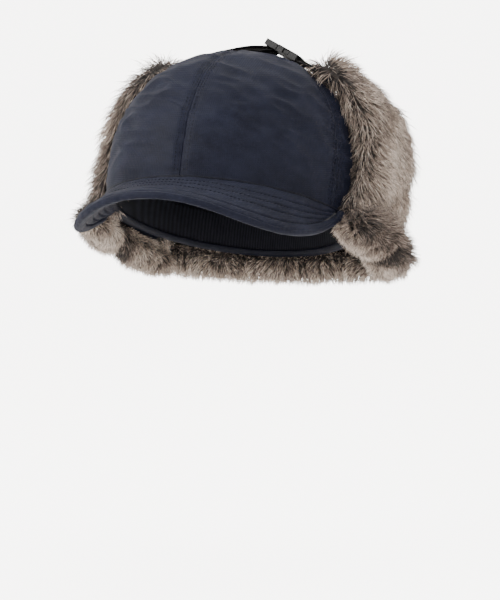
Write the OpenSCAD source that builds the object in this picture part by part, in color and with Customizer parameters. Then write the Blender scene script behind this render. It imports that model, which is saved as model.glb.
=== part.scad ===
// Trapper hat, worn with its ear flaps and neck flap turned up and buckled over the crown.
// Units are millimetres. +X is the wearer's left, -Y the front, +Z up.
// The origin is the centre of the head opening. The hat is drawn level and then tipped back as it is worn.

/* [Crown] */
// Half of the crown's outer width at the head opening
crown_half_width = 88; // [84:1:90]
// Half of the crown's outer length at the head opening
crown_half_length = 103; // [98:1:108]
// Height of the crown above the head opening
crown_height = 118.5; // [114:0.5:124]
// How far the hat is tipped back on the head, in degrees
wear_tilt = 17.5; // [5:0.5:20]
// Angle from the front to the front-side seam, in degrees
front_seam = 75; // [65:1:80]
// Angle from the front to the back-side seam, in degrees
back_seam = 130; // [120:1:140]
// Height of the sweatband
sweatband_height = 26; // [20:1:32]

/* [Brim] */
// Furthest that the brim reaches in front of the crown
brim_length = 50; // [40:1:55]
// Half of the brim's width
brim_half_width = 89; // [88:1:95]
// Fall of the brim's edge at the middle of the front
brim_fall = 24; // [15:1:30]
// Extra fall towards the brim's two sides
brim_curl = 38; // [20:1:42]

/* [Flaps] */
// Length of an ear flap from its fold to its tip
ear_length = 118; // [112:1:122]
// Length of the neck flap from its fold to its free edge
neck_length = 106; // [95:1:112]
// Half of the width of an ear flap at its fold
ear_half_width = 46; // [40:1:48]
// Half of the width of the neck flap at its fold
neck_half_width = 85; // [76:1:86]
// Depth of the fur pile
pile = 13; // [8:1:14]
// Radius of the fur roll at a fold
fold_radius = 7; // [6:0.5:8]

/* [Fastening] */
// Width of the webbing
webbing_width = 12.5; // [10:0.5:13]
// Half of the width of the buckle
buckle_half_width = 8.5; // [8:0.5:10]
// Downward slope of the buckle, in degrees
buckle_slope = 28; // [24:1:30]

/* [Hidden] */

// Layers, counted inwards from the outside of the cloth
cloth = 0.8;
layer_gap = 0.2;
crown_pad = 3.2;
flap_pad = 3;
lining_start = cloth + crown_pad + 2 * layer_gap;
lining_end = lining_start + 0.6;
sweatband_start = lining_end + layer_gap;
sweatband_end = sweatband_start + 1;
board = 1.6;

// Crown profile: how full the dome is low down and near its top
dome_low = 3.2;
dome_high = 1.85;
// How far the crown's top leans to the wearer's left, where the strap pulls it
crown_lean = 6;
dome_rows = 12;
panel_step = 5;
seam_gap = 0.2;
panel_top = 0.985;

// Brim: its root follows the crown's edge to this angle from the front
root_angle = 79;
root_gap = 0.6;
brim_columns = 36;
brim_rows = 8;
edge_start = -24;
edge_roundness = 0.92;

// Ear flap: where its fold lies, and how it bends over the crown
ear_hinge = [93, 0, -3];
ear_toe = 2;
ear_lean = -4;
ear_bend = 79;
ear_bend_power = 2.2;
ear_middle = 26;
ear_shift = 44;
ear_taper = 24;
ear_bow = 4;
// How far its front edge falls back above the fold
ear_hollow = 24;

// Neck flap, the same
neck_hinge = [0, 104, 2];
neck_lean = -4;
neck_bend = 46;
neck_bend_power = 2;
neck_taper = 12;
neck_bow = 13;

flap_start = 6;
flap_rows = 14;
flap_columns = 14;
fur_overhang = 5;
tip_start = 0.72;
tip_reach = 0.3;

// Buckle: the middle of its mouth, and the sizes along its length
strap_y = -12;
mouth = [28, strap_y, 121.7];
buckle_half_height = 2.5;
mouth_gap = 0.3;
socket_end = 17.3;
socket_floor = 1.8;
arm_length = 10.6;
web = 1.3;

navy = [0.13, 0.15, 0.24];
navy_dark = [0.10, 0.12, 0.20];
fur_beige = [0.72, 0.64, 0.57];
fur_dark = [0.36, 0.31, 0.30];
black = [0.07, 0.07, 0.08];
charcoal = [0.17, 0.17, 0.18];
wadding = [0.88, 0.88, 0.86];

// ---- Shared shapes ----

// A closed sheet between two grids of points with the same rows and columns.
// wrap joins the last column to the first, and cap closes the last row with a flat polygon.
module sheet(outer, inner, wrap = false, cap = false) {
    rows = len(outer);
    columns = len(outer[0]);
    count = rows * columns;
    last = wrap ? columns - 1 : columns - 2;
    function at(i, j) = i * columns + j % columns;
    function quad(a, b, c, d) = [[a, b, c], [a, c, d]];
    top = rows - 1;
    faces = [
        for (i = [0 : rows - 2], j = [0 : last]) each concat(
            quad(at(i, j), at(i + 1, j), at(i + 1, j + 1), at(i, j + 1)),
            quad(count + at(i, j), count + at(i, j + 1),
                count + at(i + 1, j + 1), count + at(i + 1, j))),
        for (j = [0 : last]) each
            quad(at(0, j), at(0, j + 1), count + at(0, j + 1), count + at(0, j)),
        if (!cap) for (j = [0 : last]) each
            quad(at(top, j + 1), at(top, j), count + at(top, j), count + at(top, j + 1)),
        if (!wrap) for (i = [0 : rows - 2]) each concat(
            quad(at(i + 1, 0), at(i, 0), count + at(i, 0), count + at(i + 1, 0)),
            quad(at(i, columns - 1), at(i + 1, columns - 1),
                count + at(i + 1, columns - 1), count + at(i, columns - 1))),
        if (cap) [for (j = [0 : columns - 1]) at(top, j)],
        if (cap) [for (j = [columns - 1 : -1 : 0]) count + at(top, j)]
    ];
    polyhedron([for (row = outer) each row, for (row = inner) each row], faces, 4);
}

// A flat band of webbing along a line of [x, z] points, as wide as the webbing and web thick
module band(path) {
    ends = len(path) - 1;
    function unit(v) = v / norm(v);
    function side(i) = let (
        before = unit(path[max(i, 1)] - path[max(i, 1) - 1]),
        after = unit(path[min(i + 1, ends)] - path[min(i + 1, ends) - 1]),
        mean = unit(before + after)
    ) [-mean[1], mean[0]] * web / 2 / (mean * after);
    translate([0, strap_y + webbing_width / 2, 0]) rotate([90, 0, 0])
        linear_extrude(webbing_width)
            polygon(concat(
                [for (i = [0 : ends]) path[i] + side(i)],
                [for (i = [ends : -1 : 0]) path[i] - side(i)]));
}

module worn() { rotate([-wear_tilt, 0, 0]) children(); }

// ---- Crown ----

function dome_radius(rise) = pow(1 - pow(rise, dome_low), 1 / dome_high);
function dome_rise(t) = sin(90 * t);
function lean_at(rise) = crown_lean * pow(rise, 3);
function crown_point(angle, t, depth) = let (r = dome_radius(dome_rise(t))) [
    (crown_half_width - depth) * r * sin(angle) + lean_at(dome_rise(t)),
    -(crown_half_length - depth) * r * cos(angle),
    (crown_height - depth) * dome_rise(t)
];
// Height of the crown's outside at a distance from its middle
function rise_over(x) = pow(1 - pow(abs(x) / crown_half_width, dome_high), 1 / dome_low);
function crown_top(x) = crown_height * rise_over(x - lean_at(rise_over(x - crown_lean / 2)));

module crown_panel(first, last) {
    angles = [first + seam_gap, for (a = [first + panel_step : panel_step : last - 1]) a,
        last - seam_gap];
    function grid(depth) = [for (i = [0 : dome_rows])
        [for (a = angles) crown_point(a, panel_top * i / dome_rows, depth)]];
    worn() sheet(grid(0), grid(cloth));
}

module crown_dome(depth, depth_inside) {
    function grid(d) = [for (i = [0 : dome_rows])
        [for (a = [0 : panel_step : 355]) crown_point(a, panel_top * i / dome_rows, d)]];
    worn() sheet(grid(depth), grid(depth_inside), wrap = true, cap = true);
}

module front_panel_left() { color(navy) crown_panel(0, front_seam); }
module front_panel_right() { color(navy) crown_panel(-front_seam, 0); }
module side_panel_left() { color(navy) crown_panel(front_seam, back_seam); }
module side_panel_right() { color(navy) crown_panel(-back_seam, -front_seam); }
module back_panel_left() { color(navy) crown_panel(back_seam, 180); }
module back_panel_right() { color(navy) crown_panel(-180, -back_seam); }
module crown_padding() { color(wadding) crown_dome(cloth + layer_gap, lining_start - layer_gap); }
module crown_lining() { color(navy_dark) crown_dome(lining_start, lining_end); }

module sweatband() {
    steps = 4;
    function grid(depth) = [for (i = [0 : steps]) [for (a = [0 : panel_step : 355]) let (
        height = 1 + (sweatband_height - 1) * i / steps,
        r = dome_radius(height / crown_height)
    ) [
        (crown_half_width - depth) * r * sin(a) + lean_at(height / crown_height),
        -(crown_half_length - depth) * r * cos(a),
        height
    ]]];
    color(charcoal) worn() sheet(grid(sweatband_start), grid(sweatband_end), wrap = true);
}

// ---- Brim ----

function brim_drop(a) = brim_fall * cos(a) + brim_curl * pow(sin(a), 2) * sqrt(max(0, cos(a)));
function brim_point(u, v, depth) = let (
    root = root_angle * u,
    a = 90 * abs(u),
    root_x = (crown_half_width + root_gap) * sin(root),
    root_y = -(crown_half_length + root_gap) * cos(root),
    edge_x = sign(u) * brim_half_width * pow(sin(a), edge_roundness),
    reach = crown_half_length + brim_length + edge_start,
    edge_y = edge_start - reach * pow(max(0, cos(a)), edge_roundness)
) [
    root_x + (edge_x - root_x) * v,
    root_y + (edge_y - root_y) * v,
    -brim_drop(a) * v - depth
];

module brim_layer(depth, thickness, margin = 0) {
    function grid(d) = [for (i = [0 : brim_rows]) [for (j = [0 : brim_columns])
        brim_point(2 * j / brim_columns - 1, (1 - margin) * i / brim_rows, d)]];
    worn() sheet(grid(depth + thickness), grid(depth));
}

module brim_top_cover() { color(navy) brim_layer(0, cloth); }
module brim_board() { color(charcoal) brim_layer(cloth + layer_gap, board, 0.06); }
module brim_under_cover() { color(navy_dark) brim_layer(cloth + board + 2 * layer_gap, cloth); }

// ---- Flaps: local x outwards, y along the fold, z up, with the fold's axis through the origin ----

ear = [ear_length, ear_lean, ear_bend, ear_middle, ear_shift, ear_half_width, ear_taper, ear_bow,
    ear_bend_power, ear_hollow];
neck = [neck_length, neck_lean, neck_bend, 0, 0, neck_half_width, neck_taper, neck_bow,
    neck_bend_power, 0];

function flap_angle(f, t) = f[1] + f[2] * pow(t, f[8]);
function flap_reach(f, i, rows) = i == 0 ? [0, flap_start] :
    flap_reach(f, i - 1, rows) + f[0] / rows
        * [-sin(flap_angle(f, (i - 0.5) / rows)), cos(flap_angle(f, (i - 0.5) / rows))];
function tip_round(t) = sqrt(1 - pow(max(0, (t - tip_start) / tip_reach), 2));
// A point at i rows up and q across, from -1 to 1, at a depth outwards from the crown's side
function flap_point(f, i, q, depth, overhang) = let (
    t = i / flap_rows,
    angle = flap_angle(f, t),
    place = flap_reach(f, i, flap_rows),
    hollow = f[9] / 2 * (1 - pow(1 - t, 4)),
    middle = f[3] - f[4] * t * t + hollow,
    half = (f[5] - f[6] * t * t - hollow) * tip_round(t) + overhang,
    y = middle + half * q,
    bow = f[7] * pow((y - f[3]) / f[5], 2)
) [place[0] + depth * cos(angle) - bow, y, place[1] + depth * sin(angle)];

// Fur thins out towards the free edges
function fur_depth(t, q) = pile * (0.35 + 0.65 * sqrt(1 - pow(abs(q), 5)) * sqrt(1 - pow(t, 8)));

module flap_layer(f, depth, thickness, overhang = 0) {
    function grid(d) = [for (i = [0 : flap_rows]) [for (j = [0 : flap_columns])
        flap_point(f, i, 2 * j / flap_columns - 1, d, overhang)]];
    sheet(grid(depth + thickness), grid(depth));
}

module flap_fur(f) {
    start = cloth + flap_pad + 2 * layer_gap;
    function grid(share) = [for (i = [0 : flap_rows]) [for (j = [0 : flap_columns]) let (
        q = 2 * j / flap_columns - 1
    ) flap_point(f, i, q, start + share * fur_depth(i / flap_rows, q), fur_overhang)]];
    sheet(grid(1), grid(0));
}

// The fur roll along a fold: a tube of twelve sides with rounded ends, just under the fold's axis
module flap_fold(f) {
    sides = 12;
    rings = 20;
    half = f[5] - 1;
    function ring(k) = let (
        q = 2 * k / rings - 1,
        y = f[3] + half * q,
        r = fold_radius * (0.45 + 0.55 * sqrt(1 - pow(abs(q), 8))),
        x = fold_radius + 1 - f[7] * pow((y - f[3]) / f[5], 2)
    ) [for (s = [0 : sides - 1]) [
        x + r * cos(360 * s / sides), y, r * sin(360 * s / sides) - fold_radius + 2.5
    ]];
    points = [for (k = [0 : rings]) each ring(k)];
    function at(k, s) = k * sides + s % sides;
    polyhedron(points, [
        for (k = [0 : rings - 1], s = [0 : sides - 1]) each [
            [at(k, s), at(k, s + 1), at(k + 1, s + 1)],
            [at(k, s), at(k + 1, s + 1), at(k + 1, s)]],
        [for (s = [sides - 1 : -1 : 0]) at(0, s)],
        [for (s = [0 : sides - 1]) at(rings, s)]
    ], 4);
}

module at_left_ear() { worn() translate(ear_hinge) rotate([0, 0, ear_toe]) children(); }
module at_right_ear() { worn() mirror([1, 0, 0]) translate(ear_hinge) rotate([0, 0, ear_toe]) children(); }
module at_neck() { worn() translate(neck_hinge) rotate([0, 0, 90]) children(); }

module flap_shell(f) { color(navy) flap_layer(f, 0, cloth); }
module flap_padding(f) { color(wadding) flap_layer(f, cloth + layer_gap, flap_pad, -1.5); }

module ear_shell_left() { at_left_ear() flap_shell(ear); }
module ear_padding_left() { at_left_ear() flap_padding(ear); }
module ear_fur_left() { color(fur_beige) at_left_ear() flap_fur(ear); }
module ear_fold_left() { color(fur_dark) at_left_ear() flap_fold(ear); }
module ear_shell_right() { at_right_ear() flap_shell(ear); }
module ear_padding_right() { at_right_ear() flap_padding(ear); }
module ear_fur_right() { color(fur_beige) at_right_ear() flap_fur(ear); }
module ear_fold_right() { color(fur_dark) at_right_ear() flap_fold(ear); }
module neck_shell() { at_neck() flap_shell(neck); }
module neck_padding() { at_neck() flap_padding(neck); }
module neck_fur() { color(fur_beige) at_neck() flap_fur(neck); }
module neck_fold() { color(fur_dark) at_neck() flap_fold(neck); }

// ---- Fastening: local x down the slope from the mouth into the socket, z square to it ----

module at_mouth() { worn() translate(mouth) rotate([0, buckle_slope, 0]) children(); }
// An [x, z] point of the buckle's frame in the hat's frame
function from_mouth(p) = [mouth[0], mouth[2]]
    + p[0] * [cos(buckle_slope), -sin(buckle_slope)]
    + p[1] * [sin(buckle_slope), cos(buckle_slope)];
// A box centred across the buckle, from x0 to x1, with half width w and half height h
module block(x0, x1, w, h) { translate([x0, -w, -h]) cube([x1 - x0, 2 * w, 2 * h]); }

module buckle_socket() {
    window = [5.2, 10.6];
    slot = [12.9, 15.2];
    color(charcoal) at_mouth() difference() {
        block(mouth_gap, socket_end, buckle_half_width, buckle_half_height);
        block(0, slot[0] - 1.2, buckle_half_width - 2.3, socket_floor);
        block(window[0], window[1], buckle_half_width + 1, socket_floor);
        block(slot[0], slot[1], buckle_half_width - 1.9, buckle_half_height + 1);
        for (up = [1.1, -1.1 - buckle_half_height])
            translate([slot[1] - 0.1, 1.9 - buckle_half_width, up])
                cube([5, 2 * buckle_half_width - 3.8, buckle_half_height]);
    }
}

module buckle_plug() {
    bars = [[-4.8, -2.6], [-8.5, -6.4]];
    color(charcoal) at_mouth() difference() {
        block(-10.3, -mouth_gap, buckle_half_width, buckle_half_height - 0.2);
        for (slot = bars)
            block(slot[0], slot[1], buckle_half_width - 1.6, buckle_half_height + 1);
        for (up = [1.1, -1.1 - buckle_half_height])
            translate([-6.5, 1.6 - buckle_half_width, up])
                cube([1.8, 2 * buckle_half_width - 3.2, buckle_half_height]);
    }
}

module buckle_guide() {
    color(charcoal) at_mouth() block(-mouth_gap, 9, 1.3, 1.2);
}

// One sprung arm of the plug: a thin leg and the pad that shows in the socket's window
module buckle_arm() {
    leg = [4.3, 5.5];
    pad = [6.1, 10.1];
    color(charcoal) at_mouth() union() {
        translate([-mouth_gap, leg[0], -1.4]) cube([arm_length + mouth_gap, leg[1] - leg[0], 2.8]);
        translate([pad[0], leg[1] - 0.1, -1.4])
            cube([pad[1] - pad[0], buckle_half_width - 0.3 - leg[1] + 0.1, 2.8]);
    }
}
module buckle_arm_back() { buckle_arm(); }
module buckle_arm_front() { worn() translate([0, 2 * strap_y, 0]) mirror([0, 1, 0]) unworn() buckle_arm(); }
module unworn() { rotate([wear_tilt, 0, 0]) children(); }

// The left webbing is a short loop: from the ear flap's tip, round the socket's bar and back
module webbing_left() {
    loop = [[29, -0.95], [22, -1.05], [18.6, -1.95], [15.2, -1.98], [14.25, -1.6], [14.05, -0.9],
        [14.05, 0.9], [14.25, 1.6], [15.2, 1.98], [18.6, 1.95], [22, 0.75], [29, 0.65]];
    color(black) worn() band([for (p = loop) from_mouth(p)]);
}

// The right webbing lies on the crown, goes up round the plug's middle bar and back along itself
module webbing_right() {
    lie = web / 2 + 1.3;
    load = [for (x = [-54 : 4 : 14]) [x, crown_top(x) + lie]];
    wrap = [[-6.2, -4.4], [-4.4, -3.9], [-3.75, -3.1], [-3.7, -2], [-3.7, 0.9], [-4.2, 1.75],
        [-5.6, 2.02], [-7, 1.75], [-7.45, 0.9], [-7.45, -2], [-8, -2.95], [-9.6, -3.35]];
    tail = [for (x = [12 : -4 : -20]) [x, crown_top(x) + lie + web + 0.5 + max(0, x + 8) * 0.07]];
    color(black) worn() band(concat(load, [for (p = wrap) from_mouth(p)], tail));
}

front_panel_left();
front_panel_right();
side_panel_left();
side_panel_right();
back_panel_left();
back_panel_right();
crown_padding();
crown_lining();
sweatband();
brim_top_cover();
brim_board();
brim_under_cover();
ear_shell_left();
ear_padding_left();
ear_fur_left();
ear_fold_left();
ear_shell_right();
ear_padding_right();
ear_fur_right();
ear_fold_right();
neck_shell();
neck_padding();
neck_fur();
neck_fold();
webbing_left();
buckle_socket();
webbing_right();
buckle_plug();
buckle_guide();
buckle_arm_front();
buckle_arm_back();
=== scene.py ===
import math

import bpy
import numpy as np
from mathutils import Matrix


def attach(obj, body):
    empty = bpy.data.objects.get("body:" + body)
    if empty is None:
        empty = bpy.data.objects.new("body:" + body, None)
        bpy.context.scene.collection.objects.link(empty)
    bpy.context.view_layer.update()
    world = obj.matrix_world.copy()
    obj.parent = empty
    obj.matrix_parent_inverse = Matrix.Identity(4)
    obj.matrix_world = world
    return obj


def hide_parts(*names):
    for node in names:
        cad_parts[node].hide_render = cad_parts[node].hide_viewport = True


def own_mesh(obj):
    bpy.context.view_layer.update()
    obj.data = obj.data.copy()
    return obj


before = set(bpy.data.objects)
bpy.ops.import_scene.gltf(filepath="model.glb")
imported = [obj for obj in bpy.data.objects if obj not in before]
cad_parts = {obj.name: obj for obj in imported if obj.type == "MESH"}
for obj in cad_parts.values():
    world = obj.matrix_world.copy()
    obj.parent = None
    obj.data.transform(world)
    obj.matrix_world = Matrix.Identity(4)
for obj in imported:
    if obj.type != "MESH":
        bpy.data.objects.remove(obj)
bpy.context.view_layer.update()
MM = 0.001

# Driving sizes in millimetres, the same as the CAD model's
CROWN = np.array([88.0, 103.0, 118.5])
CROWN_LEAN = 6.0
TILT = math.radians(17.5)
DOME_LOW, DOME_HIGH = 3.2, 1.85
FRONT_SEAM, BACK_SEAM = 75.0, 130.0
BRIM_ROOT = 79.0
BRIM_HALF_WIDTH, BRIM_LENGTH, BRIM_FALL, BRIM_CURL = 89.0, 50.0, 24.0, 38.0
BRIM_EDGE_START, BRIM_ROUNDNESS = -24.0, 0.92
SHELL_DEPTH = 4.2
FLAP_START = 6.0
FOLD_RADIUS = 7.0
WEBBING_WIDTH, WEBBING_THICKNESS = 12.5, 1.3
STRAP_Y = -12.0
MOUTH = np.array([28.0, STRAP_Y, 121.7])
SLOPE = math.radians(28)

# Sizes in millimetres that only the visual model has
SEAM_ROWS = (2.6, 5.4)
CROWN_CLOTH, BRIM_CLOTH = 0.7, 0.6
BRIM_THICKNESS = 3.9
LINING_DEPTH = 4.6
SWEATBAND_LOW, SWEATBAND_HEIGHT = 1, 25
FLAP_PILE, ROLL_PILE, ROLL_TOP_PILE = 17.0, 10.0, 5.0
PILE_OVERHANG = 3.0
REAR_BULGE = 7.0
TUFT = 5.6
STRAND_RADIUS = 0.23
STRAP_LIFT = 1.3

# The share of a flap's length past which its fur lies outwards over the tip
FLAP_TIP = 0.86

# How many strands of pile in a band of a flap, and in the roll along its fold
EAR_PILE, EAR_ROLL, NECK_PILE, NECK_ROLL = 15500, 10000, 13000, 13000

# Each flap: its length and the angles it leans and bends by, its outline, and where it folds
EAR = {"length": 118.0, "lean": -4.0, "bend": 79.0, "power": 2.2, "middle": 26.0, "shift": 44.0,
       "half": 46.0, "taper": 24.0, "bow": 4.0, "hollow": 24.0, "hinge": (93.0, 0.0, -3.0),
       "turn": 2.0}
NECK = {"length": 106.0, "lean": -4.0, "bend": 46.0, "power": 2.0, "middle": 0.0, "shift": 0.0,
        "half": 85.0, "taper": 12.0, "bow": 13.0, "hollow": 0.0, "hinge": (0.0, 104.0, 2.0),
        "turn": 90.0}


# ---- Frame and mesh helpers ----

def worn(points):
    """Points of the level hat in millimetres, tipped back as worn, in metres."""
    x, y, z = np.moveaxis(np.asarray(points, float), -1, 0)
    c, s = math.cos(TILT), math.sin(TILT)
    return np.stack([x, y * c + z * s, -y * s + z * c], -1) * MM


def smooth_noise(points, size, seed, octaves=3):
    """A soft random field, about -1 to 1, with features of about this size."""
    draw = np.random.default_rng(seed)
    total = np.zeros(points.shape[:-1])
    for octave in range(octaves):
        for _ in range(6):
            way = draw.normal(size=3)
            way *= 2 * math.pi * 1.8 ** octave / (size * np.linalg.norm(way))
            total += np.sin(points @ way + draw.uniform(0, 6.28)) / (2.4 * 1.9 ** octave)
    return total / 1.6


def grid_normals(points, wrap=False):
    """Unit normals of a grid of points, rows by columns."""
    if wrap:
        across = np.roll(points, -1, 1) - np.roll(points, 1, 1)
    else:
        across = np.gradient(points, axis=1)
    up = np.gradient(points, axis=0)
    normal = np.cross(across, up)
    return normal / np.maximum(np.linalg.norm(normal, axis=-1, keepdims=True), 1e-9)


def sheet_faces(rows, columns, wrap=False):
    """Quads of a closed sheet: a front grid, a back grid and the rim between them."""
    i, j = np.meshgrid(np.arange(rows - 1), np.arange(columns if wrap else columns - 1),
                       indexing="ij")
    k = (j + 1) % columns
    a, b, c, d = i * columns + j, i * columns + k, (i + 1) * columns + k, (i + 1) * columns + j
    front = np.stack([a, b, c, d], -1).reshape(-1, 4)
    count = rows * columns
    quads = [front, front[:, ::-1] + count]
    j = np.arange(columns if wrap else columns - 1)
    k = (j + 1) % columns
    top = (rows - 1) * columns
    quads.append(np.stack([j + count, k + count, k, j], -1))
    quads.append(np.stack([top + j, top + k, top + k + count, top + j + count], -1))
    if not wrap:
        i = np.arange(rows - 1) * columns
        quads.append(np.stack([i, i + columns, i + columns + count, i + count], -1))
        i = i + columns - 1
        quads.append(np.stack([i + count, i + columns + count, i + columns, i], -1))
    return np.concatenate(quads)


def ring_quads(rows, columns):
    """The faces of an open tube whose rings are stored one after another."""
    i, j = np.meshgrid(np.arange(rows - 1), np.arange(columns), indexing="ij")
    k = (j + 1) % columns
    ring, next_ring = i * columns, (i + 1) * columns
    return np.stack([ring + j, ring + k, next_ring + k, next_ring + j], -1).reshape(-1, 4)


def new_mesh(name, points, faces, materials, smooth=True, material_index=None):
    """An object from arrays of points and of faces with the same number of corners."""
    data = bpy.data.meshes.new(name)
    assert np.isfinite(points).all(), name
    points = np.ascontiguousarray(points, np.float32).reshape(-1, 3)
    groups = faces if isinstance(faces, list) else [faces]
    corners = np.concatenate([g.reshape(-1) for g in groups]).astype(np.int32)
    totals = np.concatenate([np.full(len(g), g.shape[1]) for g in groups]).astype(np.int32)
    data.vertices.add(len(points))
    data.vertices.foreach_set("co", points.reshape(-1))
    data.loops.add(len(corners))
    data.loops.foreach_set("vertex_index", corners)
    data.polygons.add(len(totals))
    data.polygons.foreach_set("loop_start", (np.cumsum(totals) - totals).astype(np.int32))
    data.polygons.foreach_set("loop_total", totals)
    if material_index is not None:
        data.polygons.foreach_set("material_index", material_index.astype(np.int32))
    data.update(calc_edges=True)
    data.validate()
    data.polygons.foreach_set("use_smooth", [smooth] * len(data.polygons))
    for material in materials:
        data.materials.append(material)
    piece = bpy.data.objects.new(name, data)
    bpy.context.collection.objects.link(piece)
    return piece


def place(piece, body, slot, *nodes):
    """Attach a piece to the body it moves with, and hide the CAD nodes it stands for; slot is not
    used.
    """
    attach(piece, body)
    if nodes:
        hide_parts(*nodes)
    return piece


def sheet_piece(name, front, thickness, material, wrap=False):
    """A closed sheet with its front at these hat-frame points and its back behind them."""
    normal = grid_normals(front, wrap)
    back = front - normal * thickness
    points = worn(np.concatenate([front.reshape(-1, 3), back.reshape(-1, 3)]))
    return new_mesh(name, points, sheet_faces(*front.shape[:2], wrap), [material])


# ---- Materials ----

def new_material(name, colour, rough):
    """A material with a plain colour and roughness, its node tree and its shader."""
    material = bpy.data.materials.new(name)
    material.use_nodes = True
    shader = material.node_tree.nodes["Principled BSDF"]
    shader.inputs["Base Color"].default_value = (*colour, 1)
    shader.inputs["Roughness"].default_value = rough
    return material, material.node_tree, shader


def texture(tree, kind, scale, place_in=None, **options):
    """A texture node in the piece's own coordinates, in metres."""
    node = tree.nodes.new(kind)
    node.inputs["Scale"].default_value = scale
    for key, value in options.items():
        if key == "bands_direction":
            setattr(node, key, value)
        else:
            node.inputs[key.replace("_", " ")].default_value = value
    tree.links.new(place_in or object_coordinates(tree), node.inputs["Vector"])
    return node


def object_coordinates(tree):
    """The piece's own coordinates, which stay with it as it moves."""
    node = tree.nodes.get("Texture Coordinate") or tree.nodes.new("ShaderNodeTexCoord")
    return node.outputs["Object"]


def stretched(tree, scale):
    """The piece's own coordinates, scaled along each axis."""
    node = tree.nodes.new("ShaderNodeMapping")
    node.inputs["Scale"].default_value = scale
    tree.links.new(object_coordinates(tree), node.inputs["Vector"])
    return node.outputs["Vector"]


def ramp(tree, factor, stops):
    """A colour for each value of a factor, from stops of (position, colour)."""
    node = tree.nodes.new("ShaderNodeValToRGB")
    elements = node.color_ramp.elements
    while len(elements) < len(stops):
        elements.new(0.5)
    for element, (position, colour) in zip(elements, stops):
        element.position = position
        element.color = (*colour, 1)
    tree.links.new(factor, node.inputs["Fac"])
    return node.outputs["Color"]


def combine(tree, a, b, operation="ADD"):
    """Two outputs or numbers added, or put together by another operation."""
    node = tree.nodes.new("ShaderNodeMath")
    node.operation = operation
    for socket, value in zip(node.inputs, (a, b)):
        if isinstance(value, (int, float)):
            socket.default_value = value
        else:
            tree.links.new(value, socket)
    return node.outputs[0]


def bump(tree, shader, height, distance, strength):
    """Bump the shader's normal by a height output, with this depth in metres."""
    node = tree.nodes.new("ShaderNodeBump")
    node.inputs["Distance"].default_value = distance
    node.inputs["Strength"].default_value = strength
    tree.links.new(height, node.inputs["Height"])
    tree.links.new(node.outputs["Normal"], shader.inputs["Normal"])


def woven(name, dark, light, rough, thread, sheen=0.25):
    """Plain-woven cloth: crossing threads, soft shade changes and a dull sheen."""
    material, tree, shader = new_material(name, light, rough)
    shader.inputs["Specular IOR Level"].default_value = 0.14
    shader.inputs["Sheen Weight"].default_value = sheen
    shader.inputs["Sheen Roughness"].default_value = 0.45
    shader.inputs["Sheen Tint"].default_value = (0.62, 0.68, 0.95, 1)
    warp = texture(tree, "ShaderNodeTexWave", 1 / thread, stretched(tree, (1, 0.25, 1)),
                   bands_direction="X", Distortion=1.5, Detail=1.0)
    weft = texture(tree, "ShaderNodeTexWave", 1 / thread, stretched(tree, (0.25, 1, 1)),
                   bands_direction="Z", Distortion=1.5, Detail=1.0)
    weave = combine(tree, warp.outputs["Fac"], weft.outputs["Fac"])
    cloud = texture(tree, "ShaderNodeTexNoise", 45, Detail=5.0, Roughness=0.6)
    slub = texture(tree, "ShaderNodeTexNoise", 900, Detail=2.0)
    shade = combine(tree, combine(tree, cloud.outputs["Fac"], 0.7, "MULTIPLY"),
                combine(tree, slub.outputs["Fac"], 0.3, "MULTIPLY"))
    tree.links.new(ramp(tree, shade, [(0.36, dark), (0.64, light)]), shader.inputs["Base Color"])
    rough_mix = combine(tree, combine(tree, slub.outputs["Fac"], 0.25, "MULTIPLY"), rough - 0.12)
    tree.links.new(rough_mix, shader.inputs["Roughness"])
    height = combine(tree, weave, combine(tree, slub.outputs["Fac"], 2.0, "MULTIPLY"))
    bump(tree, shader, height, 0.00012, 0.5)
    return material


def ribbed(name, dark, light, rough, rib):
    """Webbing or grosgrain: close ribs across its width."""
    material, tree, shader = new_material(name, light, rough)
    shader.inputs["Specular IOR Level"].default_value = 0.15
    shader.inputs["Sheen Weight"].default_value = 0.03
    ribs = texture(tree, "ShaderNodeTexWave", 1 / rib,
                   bands_direction="X", Distortion=0.6, Detail=1.0)
    grain = texture(tree, "ShaderNodeTexNoise", 1500, Detail=2.0)
    mix = combine(tree, combine(tree, ribs.outputs["Fac"], 0.6, "MULTIPLY"),
              combine(tree, grain.outputs["Fac"], 0.4, "MULTIPLY"))
    tree.links.new(ramp(tree, mix, [(0.2, dark), (0.8, light)]), shader.inputs["Base Color"])
    bump(tree, shader, mix, 0.0003, 0.8)
    return material


def moulded(name, dark, light, rough):
    """Moulded plastic with a fine satin grain."""
    material, tree, shader = new_material(name, light, rough)
    shader.inputs["Specular IOR Level"].default_value = 0.3
    grain = texture(tree, "ShaderNodeTexNoise", 2200, Detail=3.0)
    wear = texture(tree, "ShaderNodeTexNoise", 160, Detail=4.0)
    tree.links.new(ramp(tree, wear.outputs["Fac"], [(0.35, dark), (0.7, light)]),
                   shader.inputs["Base Color"])
    tree.links.new(combine(tree, combine(tree, wear.outputs["Fac"], 0.3, "MULTIPLY"), rough - 0.15),
                   shader.inputs["Roughness"])
    bump(tree, shader, grain.outputs["Fac"], 0.00005, 0.5)
    return material


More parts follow.
